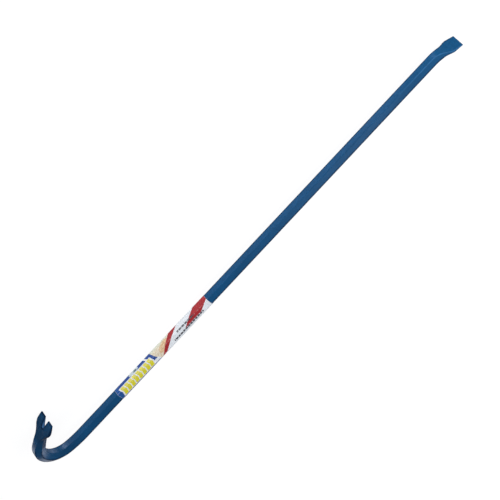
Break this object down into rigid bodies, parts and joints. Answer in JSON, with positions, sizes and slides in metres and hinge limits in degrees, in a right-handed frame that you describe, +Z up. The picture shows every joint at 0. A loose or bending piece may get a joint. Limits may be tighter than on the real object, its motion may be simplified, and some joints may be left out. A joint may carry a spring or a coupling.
{
  "type": "pry bar",
  "caption": "Gooseneck pry bar forged from hexagonal steel, with a notched nail-pulling claw, a set-over chisel end and a printed label round the shank.",
  "frame": {"origin": "bottom centre of the bounding box, the bar lying on its side", "axes": "+X along the shank towards the chisel end, the gooseneck at -X; +Y across the plane of the hook, the side the claw opens to; +Z up, normal to the plane of the hook"},
  "size_m": [1.0005, 0.1236, 0.0432],
  "materials": {
    "blue_enamel": "semi-gloss blue enamel over forged steel, thin at the edges",
    "printed_label": "satin printed paper"
  },
  "bodies": {
    "root": {"forged_bar": "blue_enamel", "shank_label": "printed_label"}
  },
  "joints": []
}
